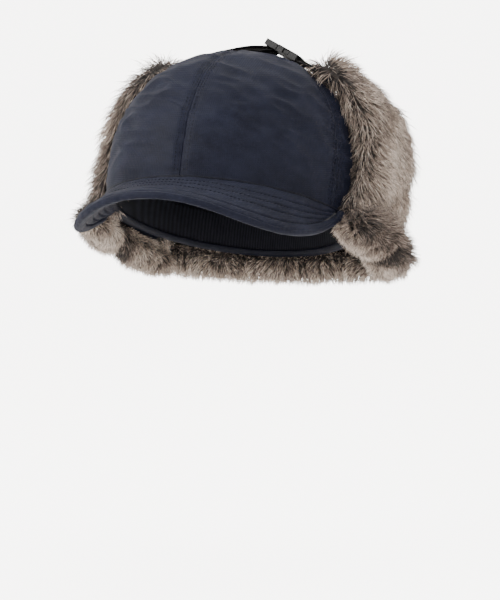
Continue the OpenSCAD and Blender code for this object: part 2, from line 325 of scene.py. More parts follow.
NAVY = woven("navy_nylon", (0.0053, 0.0065, 0.0155), (0.0112, 0.0134, 0.0285), 0.6, 0.0045, 0.03)
NAVY_DARK = woven("navy_lining", (0.003, 0.0038, 0.009), (0.006, 0.0072, 0.015), 0.55, 0.0045, 0.02)
THREAD = woven("sewing_thread", (0.0020, 0.0024, 0.006), (0.0036, 0.0044, 0.010), 0.5, 0.002, 0.0)
BLACK = ribbed("black_webbing", (0.003, 0.003, 0.0035), (0.010, 0.010, 0.011), 0.6, 0.0042)
GROSGRAIN = ribbed("sweatband_grosgrain", (0.005, 0.0055, 0.009), (0.013, 0.014, 0.022), 0.7, 0.006)
PLASTIC = moulded("buckle_plastic", (0.007, 0.007, 0.008), (0.020, 0.020, 0.022), 0.40)
BOARD = moulded("brim_board_plastic", (0.05, 0.05, 0.055), (0.09, 0.09, 0.095), 0.6)
WADDING = woven("wadding", (0.55, 0.55, 0.53), (0.8, 0.8, 0.78), 0.9, 0.004)
FUR_HIDE = woven("fur_backing", (0.030, 0.025, 0.023), (0.085, 0.072, 0.066), 0.95, 0.003, 0.0)

# Root, middle and tip colours of the strands, from the darkest to the palest
FUR_LEVELS = [
    [(0.010, 0.008, 0.007), (0.028, 0.022, 0.019), (0.085, 0.066, 0.056)],
    [(0.020, 0.016, 0.015), (0.12, 0.092, 0.078), (0.40, 0.315, 0.265)],
    [(0.045, 0.036, 0.032), (0.30, 0.235, 0.195), (0.80, 0.660, 0.560)],
    [(0.090, 0.072, 0.063), (0.52, 0.415, 0.345), (1.00, 0.890, 0.790)],
]


def fur_materials():
    """One plain material for each tone of strand and each level along it."""
    made = []
    for tone, levels in enumerate(FUR_LEVELS):
        for level, colour in enumerate(levels):
            material, _, shader = new_material(f"fur_tone{tone}_level{level}", colour, 0.62)
            shader.inputs["Sheen Weight"].default_value = 0.15
            shader.inputs["Specular IOR Level"].default_value = 0.35
            made.append(material)
    return made


FUR = fur_materials()

# ---- Crown ----

PANELS = {
    "front_panel_left": (0, FRONT_SEAM), "front_panel_right": (-FRONT_SEAM, 0),
    "side_panel_left": (FRONT_SEAM, BACK_SEAM), "side_panel_right": (-BACK_SEAM, -FRONT_SEAM),
    "back_panel_left": (BACK_SEAM, 180), "back_panel_right": (-180, -BACK_SEAM),
}
SEAMS = (-180, -BACK_SEAM, -FRONT_SEAM, 0, FRONT_SEAM, BACK_SEAM, 180)


def dome(angle, t, depth=0.0):
    """Points on the crown: angle from the front in degrees, t from 0 at the edge to 1 on top."""
    rise = np.sin(t * math.pi / 2)
    r = np.maximum(1 - rise ** DOME_LOW, 0) ** (1 / DOME_HIGH)
    a = np.radians(angle)
    size = [side - depth for side in CROWN]
    return np.stack([size[0] * r * np.sin(a) + CROWN_LEAN * rise ** 3,
                     -size[1] * r * np.cos(a), size[2] * rise], -1)


def seam_distance(angle, points):
    """Distance in millimetres to the nearest seam, and that seam's number."""
    radius = np.linalg.norm(points[..., :2], axis=-1)
    gaps = np.abs(angle[..., None] - np.array(SEAMS))
    return np.radians(gaps.min(-1)) * radius, gaps.argmin(-1)


def crown_swell(angle, points):
    """How far the padded cloth stands out from the CAD surface, in millimetres."""
    away, seam = seam_distance(angle, points)
    height = points[..., 2]
    swell = 1.15 - 1.55 * np.exp(-(away / 4.2) ** 2)
    for row in SEAM_ROWS:
        swell -= 0.42 * np.exp(-((away - row) / 0.75) ** 2)
    pucker = np.sin(height / 3.1 + 1.6 * smooth_noise(points, 30, 5) + seam * 1.7)
    below = np.exp(-((height - 50) / 34) ** 4)
    swell += (0.32 + 0.3 * below) * pucker * np.exp(-away / 9)
    swell += 0.75 * smooth_noise(points * (1, 1, 1.5), 46, 8, 2)
    ridged = 1 - 2.2 * np.abs(smooth_noise(points * (0.8, 0.8, 1.9), 34, 9, 2))
    swell += (0.45 * np.clip(height / 80, 0.35, 1) + 0.5 * below) * ridged
    crest = np.sin(height / 2.2 + 2.4 * smooth_noise(points, 40, 21, 2))
    swell += 0.42 * crest * np.exp(-((height - 108) / 7) ** 2)
    slant = np.sin((height * 0.75 + np.abs(angle) * 0.95) / 6.0
                   + 1.9 * smooth_noise(points, 60, 22, 2))
    swell += slant * np.exp(-((np.abs(angle) - 72) / 20) ** 2) * np.exp(-((height - 78) / 26) ** 2)
    swell = np.maximum(swell, -0.55)
    root = np.exp(-(height / 7) ** 2)
    return swell * (1 - 0.75 * root) - 0.4 * root


def crown_surface(angle, t):
    """The outside of the crown's cloth, with its normals."""
    points = dome(angle, t)
    e = 0.4
    across = dome(angle + e, t) - dome(angle - e, t)
    up = dome(angle, np.minimum(t + 0.004, 1)) - dome(angle, np.maximum(t - 0.004, 0))
    normal = np.cross(across, up)
    normal /= np.linalg.norm(normal, axis=-1, keepdims=True)
    return points + normal * crown_swell(angle, points)[..., None], normal


def crown_panel(name, first, last):
    """One gore of the crown's cloth, between two seams."""
    columns = max(12, int((last - first) / 0.9))
    angle = np.linspace(first + 0.05, last - 0.05, columns)
    t = np.concatenate([np.linspace(0, 0.9, 110), np.linspace(0.904, 0.9995, 24)])
    grid = np.stack(np.broadcast_arrays(angle[None, :], t[:, None]))
    points, normal = crown_surface(grid[0], grid[1])
    back = points - normal * CROWN_CLOTH
    both = worn(np.concatenate([points.reshape(-1, 3), back.reshape(-1, 3)]))
    piece = new_mesh(name + "_cloth", both, sheet_faces(*points.shape[:2]), [NAVY])
    return place(piece, "crown", "navy_nylon", name)


def crown_wadding():
    """The quilt wadding between the crown's cloth and its lining."""
    angle, t = np.meshgrid(np.arange(0, 360, 3.0), np.linspace(0.004, 0.975, 60))
    outer = dome(angle, t, 1.8 - 0.2 * np.sin(angle / 4) * np.sin(t * 40))
    inner = dome(angle, t, 4.1)
    both = worn(np.concatenate([outer.reshape(-1, 3), inner.reshape(-1, 3)]))
    piece = new_mesh("crown_wadding", both, sheet_faces(*angle.shape, wrap=True), [WADDING])
    place(piece, "crown", "wadding", "crown_padding")


def stitches(name, line, normal, material, body, slot, pitch=2.9, length=2.1, width=0.42):
    """Separate thread stitches along a line of hat-frame points with these normals."""
    steps = np.linalg.norm(np.diff(line, axis=0), axis=1)
    along = np.concatenate([[0], np.cumsum(steps)])
    centres = np.arange(pitch / 2, along[-1] - pitch / 2, pitch)

    def at(s, values):
        return np.stack([np.interp(s, along, values[:, k]) for k in range(3)], -1)

    ends = np.stack([at(centres + f * length / 2, line) for f in (-1, -0.6, 0, 0.6, 1)], 1)
    out = at(centres, normal)[:, None]
    out = out / np.linalg.norm(out, axis=-1, keepdims=True)
    way = ends[:, -1:] - ends[:, :1]
    way /= np.linalg.norm(way, axis=-1, keepdims=True)
    side = np.cross(way, out)
    lift = np.array([-0.25, 0.1, 0.22, 0.1, -0.25])[None, :, None]
    size = np.array([0.35, 0.9, 1, 0.9, 0.35])[None, :, None] * width / 2
    middle = ends + out * lift
    rings = np.stack([middle + size * (math.cos(a) * side + math.sin(a) * out)
                      for a in np.radians([0, 60, 120, 180, 240, 300])], 2)
    count = len(centres)
    base = np.arange(count)[:, None, None] * 30
    quads = (base + ring_quads(5, 6)).reshape(-1, 4)
    caps = np.concatenate([np.arange(5, -1, -1)[None], np.arange(24, 30)[None]])
    caps = (base + caps).reshape(-1, 6)
    piece = new_mesh(name, worn(rings.reshape(-1, 3)), [quads, caps], [material])
    return place(piece, body, slot)


def crown_stitching():
    """Two rows of stitches on each side of every seam."""
    t = np.linspace(0.03, 0.955, 240)
    for number, seam in enumerate(SEAMS[1:]):
        for side in (-1, 1):
            for row, away in zip(("in", "out"), SEAM_ROWS):
                base = dome(np.full_like(t, seam), t)
                radius = np.maximum(np.linalg.norm(base[:, :2], axis=1), 6)
                angle = seam + side * np.degrees(away / radius)
                points, normal = crown_surface(angle, t)
                name = f"seam{number}_{'left' if side > 0 else 'right'}_{row}_stitches"
                stitches(name, points + normal * 0.12, normal, THREAD, "crown", "navy_nylon")


def crown_inside():
    """Quilted lining, and the sweatband sewn round the opening."""
    angle, t = np.meshgrid(np.arange(0, 360, 2.0), np.linspace(0, 0.985, 90))
    points = dome(angle, t, LINING_DEPTH)
    normal = grid_normals(points, True)
    round_ways = np.radians(angle) * 9
    across = np.abs(np.sin(round_ways + t * 9)) * np.abs(np.sin(round_ways - t * 9))
    points = points + normal * (0.1 - 0.9 * np.sqrt(across))[..., None]
    piece = sheet_piece("crown_lining_quilted", points, 0.35, NAVY_DARK, wrap=True)
    place(piece, "crown", "lining", "crown_lining")
    angle, h = np.meshgrid(np.arange(0, 360, 2.0), np.linspace(0, 1, 14))
    z = SWEATBAND_LOW + SWEATBAND_HEIGHT * h
    belly = 5.3 + 0.9 * np.sin(h * math.pi) + 0.25 * smooth_noise(
        np.stack([angle * 1.5, z * 0, z * 0], -1), 60, 4)
    rise = np.arcsin(z / CROWN[2]) / (math.pi / 2)
    middle = np.stack([CROWN_LEAN * (z / CROWN[2]) ** 3, 0 * z, 0 * z], -1)
    inward = np.stack([1 - belly / CROWN[0], 1 - belly / CROWN[1], np.ones_like(z)], -1)
    flat = (dome(angle, rise) - middle) * inward + middle
    piece = sheet_piece("sweatband_tape", flat, 0.8, GROSGRAIN, wrap=True)
    place(piece, "crown", "sweatband", "sweatband")


def crown_edge():
    """The tape that binds the crown's raw edge round the head opening."""
    angle = np.arange(0, 360, 2.0)
    turn = np.radians(np.linspace(-10, 190, 11))
    a, s = np.meshgrid(angle, turn)
    middle = dome(a, np.zeros_like(a), 2.9)
    out = grid_normals(dome(a, s * 0.0001 + 0.02 * (s + 1)), True)
    out[..., 2] = 0
    out /= np.linalg.norm(out, axis=-1, keepdims=True)
    points = middle + out * (3.4 * np.cos(s))[..., None]
    points[..., 2] += 1.6 - 3.0 * np.sin(s) + 0.15 * smooth_noise(points, 12, 3)
    piece = sheet_piece("crown_edge_tape", points, 0.7, NAVY_DARK, wrap=True)
    place(piece, "crown", "navy_nylon")


# ---- Brim ----

BRIM_ROWS = (0.22, 0.40, 0.58)
BRIM_HEM = 9.0


def brim_drop(a):
    """How far the brim's edge falls, most in front and curled down at the sides."""
    cosine = np.clip(np.cos(a), 0, 1)
    return BRIM_FALL * cosine + BRIM_CURL * np.sin(a) ** 2 * np.sqrt(cosine)


def brim_point(u, v):
    """A point of the brim's middle: u from -1 to 1 along the crown, v from root to edge."""
    root = np.radians(BRIM_ROOT * u)
    a = np.radians(90 * np.abs(u))
    root_x, root_y = (CROWN[0] - 0.5) * np.sin(root), -(CROWN[1] - 0.5) * np.cos(root)
    cosine = np.clip(np.cos(a), 0, 1)
    edge_x = np.sign(u) * BRIM_HALF_WIDTH * np.sin(a) ** BRIM_ROUNDNESS
    reach = CROWN[1] + BRIM_LENGTH + BRIM_EDGE_START
    edge_y = BRIM_EDGE_START - reach * cosine ** BRIM_ROUNDNESS
    drop = brim_drop(a) * v
    return np.stack([root_x + (edge_x - root_x) * v, root_y + (edge_y - root_y) * v, -drop], -1)


def brim_swell(u, v, width):
    """Puffed channels between the rows of stitching."""
    height = 0.9 - 1.0 * np.exp(-(((1 - v) * width - BRIM_HEM) / 1.2) ** 2)
    height += 0.35 * np.exp(-(((1 - v) * width - BRIM_HEM / 2) / 3.0) ** 2)
    ends = ((np.abs(u) - 0.2) / 0.5).clip(0.12, 1)
    for row in BRIM_ROWS:
        height -= 0.85 * ends * np.exp(-((v - row) * width / 1.6) ** 2)
    return height


def brim():
    """The brim's two covers, its rolled edge and its rows of stitches."""
    u = np.linspace(-1, 1, 150)
    v = np.linspace(0, 1, 90)
    uu, vv = np.meshgrid(u, v)
    middle = brim_point(uu, vv)
    normal = -grid_normals(middle)
    width = np.linalg.norm(brim_point(u, np.ones_like(u)) - brim_point(u, np.zeros_like(u)), axis=1)
    swell = brim_swell(uu, vv, width[None, :])
    swell += 0.3 * smooth_noise(middle, 18, 31, 2)
    round_off = np.sqrt(np.clip(1 - ((vv - 0.93) / 0.07).clip(0, 1) ** 2, 0, 1))
    top = middle + normal * (0.2 + (0.4 + swell) * round_off)[..., None]
    under = middle - normal * (BRIM_THICKNESS - 1.0 + (1.0 + 0.8 * swell) * round_off)[..., None]
    piece = sheet_piece("brim_top_cloth", top[:, ::-1], BRIM_CLOTH, NAVY)
    place(piece, "crown", "navy_nylon", "brim_top_cover")
    piece = sheet_piece("brim_under_cloth", under, BRIM_CLOTH, NAVY)
    place(piece, "crown", "navy_nylon", "brim_under_cover")
    edge_tape(middle[-1], normal[-1])
    line_u = np.linspace(-0.97, 0.97, 400)
    lines = [(f"row{number}", np.full(150, row)) for number, row in enumerate(BRIM_ROWS)]
    lines.append(("hem", (1 - BRIM_HEM / np.maximum(width, 14)).clip(0.3, 1)))
    for word, share in lines:
        across = np.stack([
            np.interp(line_u, u, [np.interp(share[c], v, top[:, c, k]) for c in range(150)])
            for k in range(3)], -1)
        up = np.stack([np.interp(line_u, u, normal[45, :, k]) for k in range(3)], -1)
        stitches(f"brim_{word}_stitches", across + up * 0.1, up, THREAD, "crown", "navy_nylon")


def edge_tape(edge, normal):
    """The rolled edge that joins the brim's two covers."""
    out = np.cross(np.gradient(edge, axis=0), normal)
    out /= np.linalg.norm(out, axis=1, keepdims=True)
    out *= np.sign((out * (edge - edge.mean(0))).sum(1, keepdims=True))
    turn = np.radians(np.linspace(-100, 100, 15))
    points = np.array([edge + normal * (-1.7 + 2.1 * math.sin(s)) + out * (-0.4 + 1.7 * math.cos(s))
                       for s in turn])
    points += 0.12 * smooth_noise(points, 6, 33)[..., None]
    piece = sheet_piece("brim_edge_roll", points[::-1], 0.5, NAVY)
    place(piece, "crown", "navy_nylon")


# ---- Flaps ----

def flap_profile(f, t):
    """The flap's middle line, seen from its end: x, z and the angle it leans by at each share t."""
    t = np.maximum(t, 0)
    steps = np.linspace(0, 1, 241)
    angle = np.radians(f["lean"] + f["bend"] * steps ** f["power"])
    step = f["length"] / 240
    x = np.concatenate([[0], np.cumsum(-np.sin(angle[1:] / 2 + angle[:-1] / 2) * step)])
    z = FLAP_START + np.concatenate([[0], np.cumsum(np.cos(angle[1:] / 2 + angle[:-1] / 2) * step)])
    leaning = np.radians(f["lean"] + f["bend"] * t ** f["power"])
    return np.interp(t, steps, x), np.interp(t, steps, z), leaning


def flap_hollow(f, t):
    """How far the flap's front edge is hollowed, half of it at each side of its middle."""
    return f["hollow"] / 2 * (1 - (1 - t) ** 4)


def flap_half(f, t):
    """Half the flap's width, with its rounded top."""
    tip = np.sqrt(1 - ((t - 0.72) / 0.3).clip(0, 1) ** 2)
    return (f["half"] - f["taper"] * t ** 2 - flap_hollow(f, t)) * tip


def flap_point(f, t, q, depth, overhang=0.0):
    """A point in the flap's own frame: x outwards, y along the fold, z up from its axis."""
    x, z, angle = flap_profile(f, t)
    middle = f["middle"] - f["shift"] * t ** 2 + flap_hollow(f, t)
    y = middle + (flap_half(f, t) + overhang) * q
    bow = f["bow"] * ((y - f["middle"]) / f["half"]) ** 2
    return np.stack([x + depth * np.cos(angle) - bow, y, z + depth * np.sin(angle)], -1)


def flap_to_hat(f, points, side=1):
    """From the flap's frame to the level hat's frame; side -1 mirrors it to the right."""
    turn = math.radians(f["turn"])
    x, y, z = np.moveaxis(points, -1, 0)
    hx, hy, hz = f["hinge"]
    moved = np.stack([x * math.cos(turn) - y * math.sin(turn) + hx,
                      x * math.sin(turn) + y * math.cos(turn) + hy, z + hz], -1)
    return moved * (side, 1, 1)


def flap_core(name, f, side, body, nodes):
    """The padded nylon flap: a flat pillow with a rounded rim."""
    qq, tt = np.meshgrid(np.linspace(-1, 1, 60), np.linspace(0, 1, 70))
    rim = np.minimum(np.minimum(1 - np.abs(qq), (1 - tt) * 1.4), tt * 2 + 0.05)
    round_off = np.sqrt(1 - (1 - (rim / 0.1).clip(0, 1)) ** 2)
    flat = flap_point(f, tt, qq, 2.0 + 0 * tt)
    swell = 0.5 * smooth_noise(flat, 24, 41, 2)
    inner = flap_point(f, tt, qq, 2.0 - round_off * (3.6 + 0.8 * swell))
    outer = flap_point(f, tt, qq, 2.0 + round_off * 2.2)
    points = np.concatenate([outer.reshape(-1, 3), inner.reshape(-1, 3)])
    points = worn(flap_to_hat(f, points, side))
    faces = sheet_faces(70, 60)
    if side < 0:
        faces = faces[:, ::-1]
    piece = new_mesh(name, points, faces, [NAVY])
    return place(piece, body, "navy_nylon", *nodes)


def flap_skin(f, t, q, side):
    """Root points of a flap's fur, in the hat's frame; an ear flap's fur bulges at its rear."""
    cushion = np.sqrt(np.clip(1 - np.abs(q) ** 4, 0, 1)) * np.sqrt(np.clip(1 - t ** 8, 0, 1))
    depth = SHELL_DEPTH + 0.4 + 4.5 * cushion
    if f["hollow"]:
        rear = ((q + 0.4) * (1.02 - q)).clip(0, 0.5) * 2
        depth = depth + REAR_BULGE * np.exp(-((t - 0.55) / 0.24) ** 2) * rear
    return flap_to_hat(f, flap_point(f, t, q, depth, PILE_OVERHANG), side)


def outward(surface, a, b, side):
    """Unit normals of a surface function of two arrays."""
    e = 0.01
    one = surface(a, b + e) - surface(a, b - e)
    two = surface(a + e, b) - surface(a - e, b)
    normal = np.cross(one, two) * side
    return normal / np.maximum(np.linalg.norm(normal, axis=-1, keepdims=True), 1e-9)


# These two turn a tuft's cell numbers into a place of its own within the cell
SCATTER = np.array([12.9898, 78.233, 37.719])
SCATTER_GAIN = 43758.5453


def strands(name, root, normal, flow, length, seed, body, shade_and_tone_shift=0.0, lie=40, ruffle=1.0):
    """Fur pile: one tapered, curved strand at each root, drawn together in tufts.

    lie is how far the strands lean over, in degrees, and ruffle how much that and their way vary.
    The tone shift makes them darker or paler; the callers paint shade into the pile with it."""
    draw = np.random.default_rng(seed)
    count = len(root)
    flow = flow - (flow * normal).sum(1, keepdims=True) * normal
    flow /= np.maximum(np.linalg.norm(flow, axis=1, keepdims=True), 1e-9)
    bend_way = np.cross(normal, flow)
    swirl = smooth_noise(root, 38, seed + 1, 2)[:, None] * 0.8 * ruffle
    swirl = swirl + draw.normal(0, 0.2, (count, 1))
    flow = flow * np.cos(swirl) + bend_way * np.sin(swirl)
    streak = smooth_noise(root * (1, 1, 0.32), 13, seed + 2, 2)
    parting = smooth_noise(root, 26, seed + 3, 2)
    length = length * (1 + 0.16 * draw.normal(size=count) + 0.12 * streak).clip(0.45, 1.2)
    lean = np.radians(lie + 18 * ruffle * parting + draw.normal(0, 7, count)).clip(0.1, 1.25)
    warped = root + 1.6 * np.stack([smooth_noise(root, 9, seed + k, 2) for k in (5, 6, 7)], -1)
    key = np.floor(warped / TUFT)
    mix = np.sin(key @ SCATTER) * SCATTER_GAIN
    jitter = np.stack([(mix * k) % 1 for k in (1.0, 1.7, 2.3)], -1) - 0.5
    centre = (key + 0.5 + 0.5 * jitter) * TUFT - (warped - root)
    pull = centre - root
    pull -= (pull * normal).sum(1, keepdims=True) * normal
    tuft = (0.22 + 0.3 * draw.uniform(size=count))[:, None]
    tuft_lean = (jitter[:, :1] * bend_way + jitter[:, 1:2] * flow) * 2.4
    middle = []
    for share in (0.0, 0.38, 0.72, 1.0):
        angle = lean * (0.45 + 0.85 * share)
        along = (length * share)[:, None]
        way = np.cos(angle)[:, None] * normal + np.sin(angle)[:, None] * flow
        middle.append(root + along * way + (pull * tuft + tuft_lean) * share ** 1.5)
    middle = np.stack(middle, 1)
    way = middle[:, -1] - middle[:, 0]
    way /= np.linalg.norm(way, axis=1, keepdims=True)
    one = np.cross(way, draw.normal(size=(count, 3)))
    one /= np.linalg.norm(one, axis=1, keepdims=True)
    two = np.cross(way, one)
    thick = (STRAND_RADIUS + 0.06 * draw.normal(size=count)).clip(0.13, 0.4)
    sizes = np.array([1.0, 0.85, 0.6])
    rings = np.stack([
        middle[:, :3] + (thick[:, None] * sizes)[..., None]
        * (math.cos(a) * one + math.sin(a) * two)[:, None] for a in np.radians([0, 120, 240])], 2)
    points = np.concatenate([rings.reshape(count, 9, 3), middle[:, 3:]], 1)
    base = np.arange(count)[:, None, None] * 10
    tip = [[6, 7, 9], [7, 8, 9], [8, 6, 9]]
    quads = (base + ring_quads(3, 3)).reshape(-1, 4)
    tips = (base + np.array(tip)).reshape(-1, 3)
    # The tone shift carries the callers' painted shade; the streaks and the rest vary the tone at
    # random.
    tone = (2.15 + shade_and_tone_shift + 0.75 * streak + 0.35 * smooth_noise(root, 60, seed + 4, 1)
            + 0.45 * draw.normal(size=count)).clip(0, 3.49).round().astype(int)
    level = np.array([0, 0, 0, 1, 1, 1])
    quad_slot = (tone[:, None] * 3 + level[None]).reshape(-1)
    tip_slot = (tone[:, None] * 3 + np.full(3, 2)[None]).reshape(-1)
    piece = new_mesh(name, worn(points), [quads, tips], FUR,
                     material_index=np.concatenate([quad_slot, tip_slot]))
    if body:
        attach(piece, body)
    return piece


def flap_fur(name, f, side, body, nodes, bands, count, flow, seed):
    """The fur facing of a flap: its backing, and the pile in bands from the fold to the tip."""
    q, t = np.meshgrid(np.linspace(-1, 1, 50), np.linspace(0, 1, 60))
    hide = flap_skin(f, t, q, side)
    normal = outward(lambda a, b: flap_skin(f, a, b, side), t, q, side)
    back = hide - normal * 1.2
    faces = sheet_faces(60, 50)
    if side < 0:
        faces = faces[:, ::-1]
    points = worn(np.concatenate([hide.reshape(-1, 3), back.reshape(-1, 3)]))
    piece = new_mesh(name + "_backing", points, faces, [FUR_HIDE])
    place(piece, body, "faux_fur", *nodes)
    draw = np.random.default_rng(seed)
    for band in range(bands):
        t = draw.uniform(band / bands, (band + 1) / bands, count)
        q = draw.uniform(-1, 1, count)
        share = (flap_half(f, t) + PILE_OVERHANG) / (f["half"] + PILE_OVERHANG)
        keep = draw.uniform(size=count) < share
        t, q = t[keep], q[keep]
        root = flap_skin(f, t, q, side)
        normal = outward(lambda a, b: flap_skin(f, a, b, side), t, q, side)
        along = outward_edge(f, t, q, side)
        over = (t > FLAP_TIP) * ((t - FLAP_TIP) / (1 - FLAP_TIP)) ** 2
        edge = (np.abs(q) ** 6 + over).clip(0, 1)[:, None]
        inward = (draw.uniform(size=len(t)) < 0.5)[:, None] * edge
        normal = normal * (1 - 0.55 * edge - 1.5 * inward) + along * edge * 0.9
        wrap = draw.uniform(size=len(t)) < 0.09
        rim = flap_point(f, t, np.sign(q), draw.uniform(-1.5, 4.5, len(t)), 1.0)
        off = outward(lambda a, b: flap_skin(f, a, b, side), t, np.sign(q) * 0.9, side)
        wrap = wrap[:, None]
        root = np.where(wrap, flap_to_hat(f, rim, side), root)
        round_rim = outward_edge(f, t, np.sign(q), side) - off * draw.uniform(0.3, 1.3, (len(t), 1))
        normal = np.where(wrap, round_rim, normal)
        edge = np.where(wrap, 1.0, edge)
        normal /= np.linalg.norm(normal, axis=1, keepdims=True)
        # fold picks out the pile beside the fold, drawn a little shorter there; the tone below
        # paints it darker, a painted shade beside the roll.
        fold = np.exp(-((t - 0.035 + 0.02 * np.sin(q * 7)) / 0.05) ** 2)
        way = np.broadcast_to(np.array(flow, float) * (side, 1, 1), root.shape)
        bulk = 1 + 0.4 * (q > 0) * q * np.exp(-((t - 0.5) / 0.28) ** 2)
        length = FLAP_PILE * bulk * (1 - 0.15 * edge[:, 0] + 0.3 * inward[:, 0]) * (1 - 0.1 * fold)
        # line picks out a groove of shorter pile along an ear flap, from the fold to the tip; the
        # tone below paints it darker, a painted shade in the groove.
        line = np.exp(-((q - 0.3 + 0.25 * t + 0.05 * np.sin(t * 11)) / 0.07) ** 2)
        line = line * (f["hollow"] > 0)
        # The strands' tone: painted shade beside the fold and in the groove, and paler towards one
        # side, the rear on an ear flap.
        tone = -0.8 * fold - 0.9 * line + 0.35 * np.tanh((q - 0.2) * 4)
        strands(f"{name}_pile{band}", root, normal, way, length * (1 - 0.25 * line), seed, body,
                tone, 50, 0.45)


def outward_edge(f, t, q, side):
    """The way off the flap's nearest free edge."""
    e = 0.01
    sideways = flap_skin(f, t, q + e, side) - flap_skin(f, t, q - e, side)
    sideways /= np.linalg.norm(sideways, axis=1, keepdims=True)
    up = flap_skin(f, t + e, q, side) - flap_skin(f, t - e, q, side)
    up /= np.linalg.norm(up, axis=1, keepdims=True)
    top = (t > FLAP_TIP)[:, None]
    way = sideways * np.sign(q)[:, None] * np.abs(q)[:, None] ** 2 + up * top
    return way / np.maximum(np.linalg.norm(way, axis=1, keepdims=True), 1e-9)


def fold_core(f, q):
    """The middle of the roll of fur along a fold, in the flap's frame, and round the corners."""
    rear = 17.0 if f["hollow"] else 9.0
    front = 1.0 if f["hollow"] else 9.0
    y = f["middle"] + np.where(q > 0, f["half"] + rear, f["half"] + front) * q
    past = np.abs(y - f["middle"]) / f["half"]
    x = FOLD_RADIUS + 1.3 - f["bow"] * past ** 2 - 9 * (past - 1).clip(0) ** 1.5
    return np.stack([x, y, 0 * y - FOLD_RADIUS + 2.5], -1)


def roll_crease(f, turn, q):
    """The dip that parts the ear flap's roll into two lobes, 0 to 1."""
    return np.exp(-((q - 0.22 - 0.10 * turn) / 0.13) ** 2) * (f["hollow"] > 0)


def fold_skin(f, turn, q, side):
    """The surface under the roll's fur: turn is the angle round the roll, in radians."""
    r = (FOLD_RADIUS + 1.0) * (0.45 + 0.55 * np.sqrt(np.clip(1 - np.abs(q) ** 8, 0, 1)))
    around = np.where(turn > math.pi / 2, turn - 2 * math.pi, turn)
    r = r * (1 - 0.5 * roll_crease(f, around, q) * (around < 0.2))
    way = np.stack([r * np.cos(turn), 0 * turn, r * np.sin(turn)], -1)
    return flap_to_hat(f, fold_core(f, q) + way, side)


def fold_fur(name, f, side, node, count, seed):
    """The roll of fur that stands out along a fold: its backing, and its pile."""
    q, turn = np.meshgrid(np.linspace(-1, 1, 60), np.linspace(0, 2 * math.pi, 25)[:-1])
    points = fold_skin(f, turn, q, side)
    rows, columns = turn.shape
    i, j = np.meshgrid(np.arange(rows), np.arange(columns - 1), indexing="ij")
    k = (i + 1) % rows
    quads = np.stack([i * columns + j, i * columns + j + 1,
                      k * columns + j + 1, k * columns + j], -1)
    caps = np.stack([np.arange(rows)[::-1] * columns, np.arange(rows) * columns + columns - 1])
    piece = new_mesh(name + "_backing", worn(points), [quads.reshape(-1, 4), caps], [FUR_HIDE])
    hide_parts(node)
    press_fold(piece)
    draw = np.random.default_rng(seed)
    turn = draw.uniform(-math.pi * 1.3, math.pi * 0.4, count)
    q = draw.uniform(-1, 1, count)
    root = fold_skin(f, turn, q, side)
    core = flap_to_hat(f, fold_core(f, q), side)
    normal = root - core
    normal /= np.linalg.norm(normal, axis=1, keepdims=True)
    flow = np.broadcast_to(np.array((0.0, 0.2, -1.0)), root.shape)
    ends = draw.uniform(size=count) < 0.12
    shrink = np.sqrt(draw.uniform(size=count))[:, None]
    root = np.where(ends[:, None], core + (root - core) * shrink, root)
    q = np.where(ends, np.where(draw.uniform(size=count) < 0.5, -1.0, 1.0), q)
    end_core = flap_to_hat(f, fold_core(f, q), side)
    cap = flap_to_hat(f, fold_core(f, q) + np.sign(q)[:, None] * (0, 1, 0), side) - end_core
    root = np.where(ends[:, None], end_core + (root - core), root)
    normal = np.where(ends[:, None], cap + 0.5 * normal * shrink, normal)
    normal /= np.linalg.norm(normal, axis=1, keepdims=True)
    # crease picks out the dip between the ear roll's two lobes, where the pile is drawn shorter and
    # painted darker: a painted shade in the crease.
    crease = roll_crease(f, turn, q)
    # dark is painted shade over the roll's upper and outer side and beside the crease, standing in
    # part for the fur's own darker roots.
    dark = 1 / (1 + np.exp(-(turn + 0.75) * 6)) + roll_crease(f, turn, q - 0.13)
    length = (ROLL_PILE + ROLL_TOP_PILE * (turn > 0.2)) * (1 - 0.72 * crease * (turn < 0.2))
    length = length * np.where(turn < -math.pi, 0.45 if f["hollow"] else 0.2, 1.0)
    # The painted shade goes into the strands' tone, stronger on the ear rolls than on the neck
    # roll.
    piece = strands(name + "_pile", root, normal, flow, length, seed + 1, None,
                    0.15 - (1.9 if f["hollow"] else 1.1) * (crease + dark).clip(0, 1), 22)
    press_fold(piece)


def press_fold(piece):
    """The roll stays with the crown, with a mesh of its own."""
    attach(piece, "crown")
    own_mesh(piece)


# ---- Fastening ----

def from_mouth(x, z):
    """A point of the buckle's own frame, which starts at the socket's mouth and slopes down."""
    c, s = math.cos(SLOPE), math.sin(SLOPE)
    return np.array([MOUTH[0] + x * c + z * s, MOUTH[2] - x * s + z * c])


def rise_over(x):
    """The crown's height at x across its middle, as a share."""
    return (1 - (abs(x) / CROWN[0]) ** DOME_HIGH) ** (1 / DOME_LOW)


def crown_top(x):
    """The crown's height at x, with its lean."""
    return CROWN[2] * rise_over(x - CROWN_LEAN * rise_over(x - CROWN_LEAN / 2) ** 3)


